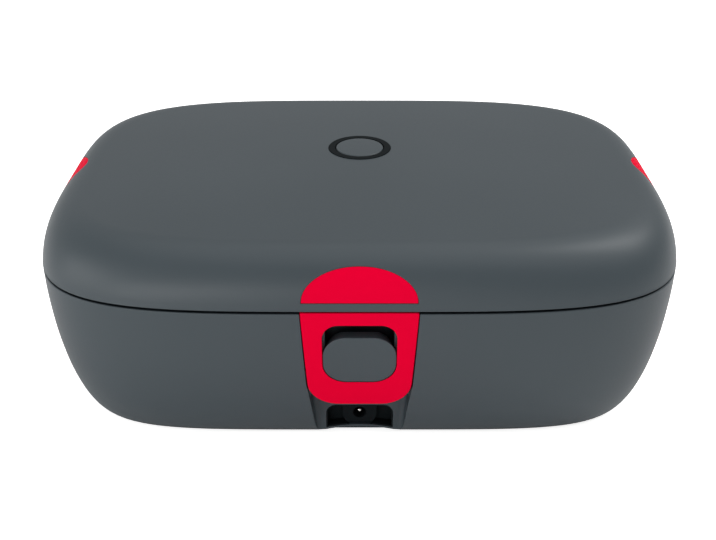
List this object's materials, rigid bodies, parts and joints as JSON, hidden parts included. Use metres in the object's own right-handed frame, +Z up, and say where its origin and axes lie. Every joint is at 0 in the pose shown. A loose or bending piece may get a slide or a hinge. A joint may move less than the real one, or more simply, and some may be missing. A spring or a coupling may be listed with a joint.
{
  "type": "electric lunch box",
  "caption": "Heated lunch box with a lift-off lid, swing latches on its sides, a push steam vent, a lift-out steel dish over a heating plate and a low-voltage power inlet.",
  "frame": {"origin": "middle of the footprint at the underside of the feet, where the box stands", "axes": "+X along the long side to the right, -Y to the front with the power inlet, +Z up"},
  "size_m": [0.27, 0.19, 0.0959],
  "materials": {
    "grey_shell": "satin",
    "red_part": "satin",
    "liner": "satin",
    "dark_part": "satin",
    "black_part": "satin",
    "steel": "brushed",
    "aluminium": "satin",
    "plated_steel": "plated",
    "nickel": "bright",
    "mica": "matt",
    "ceramic": "matt",
    "felt": "matt",
    "lead_skin": "satin",
    "foot_rubber": "matt",
    "silicone": "matt"
  },
  "bodies": {
    "base": {"base_shell": "grey_shell", "base_liner": "liner", "inner_dish": "steel", "heating_plate": "aluminium", "heating_element": "mica", "element_clamp": "plated_steel", "clamp_screws": "plated_steel", "thermostat": "black_part", "thermal_fuse": "ceramic", "insulation_pad": "felt", "power_jack": "black_part", "jack_pin": "nickel", "jack_bezel": "dark_part", "jack_leads": "lead_skin", "base_screws": "plated_steel", "feet": "foot_rubber"},
    "lid": {"lid_shell": "grey_shell", "lid_liner": "liner", "lid_gasket": "silicone", "front_cap": "red_part", "right_cap": "red_part", "back_cap": "red_part", "left_cap": "red_part", "latch_pins": "nickel", "vent_ring": "dark_part", "vent_spring": "nickel"},
    "front_latch": {"front_latch": "red_part"},
    "right_latch": {"right_latch": "red_part"},
    "back_latch": {"back_latch": "red_part"},
    "left_latch": {"left_latch": "red_part"},
    "vent": {"vent_button": "grey_shell", "vent_seal": "silicone"}
  },
  "joints": [
    {"name": "lid_lift", "type": "slide", "parent": "base", "child": "lid", "axis": [0, 0, 1], "range_m": [0, 0.06]},
    {"name": "front_latch_swing", "type": "hinge", "parent": "lid", "child": "front_latch", "pos_m": [0, -0.0918, 0.0686], "axis": [-1, 0, 0], "range_deg": [0, 90.1]},
    {"name": "right_latch_swing", "type": "hinge", "parent": "lid", "child": "right_latch", "pos_m": [0.1318, 0, 0.0686], "axis": [0, -1, 0], "range_deg": [0, 90.1]},
    {"name": "back_latch_swing", "type": "hinge", "parent": "lid", "child": "back_latch", "pos_m": [0, 0.0918, 0.0686], "axis": [1, 0, 0], "range_deg": [0, 90.1]},
    {"name": "left_latch_swing", "type": "hinge", "parent": "lid", "child": "left_latch", "pos_m": [-0.1318, 0, 0.0686], "axis": [0, 1, 0], "range_deg": [0, 90.1]},
    {"name": "vent_press", "type": "slide", "parent": "lid", "child": "vent", "axis": [0, 0, -1], "range_m": [0, 0.0015], "stiffness_N_per_m": 300, "deforming": ["vent_spring"]}
  ],
  "couplings": [
    {"joint": "front_latch_swing", "follows": "lid_lift", "rad_per_m": 26.18},
    {"joint": "right_latch_swing", "follows": "lid_lift", "rad_per_m": 26.18},
    {"joint": "back_latch_swing", "follows": "lid_lift", "rad_per_m": 26.18},
    {"joint": "left_latch_swing", "follows": "lid_lift", "rad_per_m": 26.18}
  ]
}
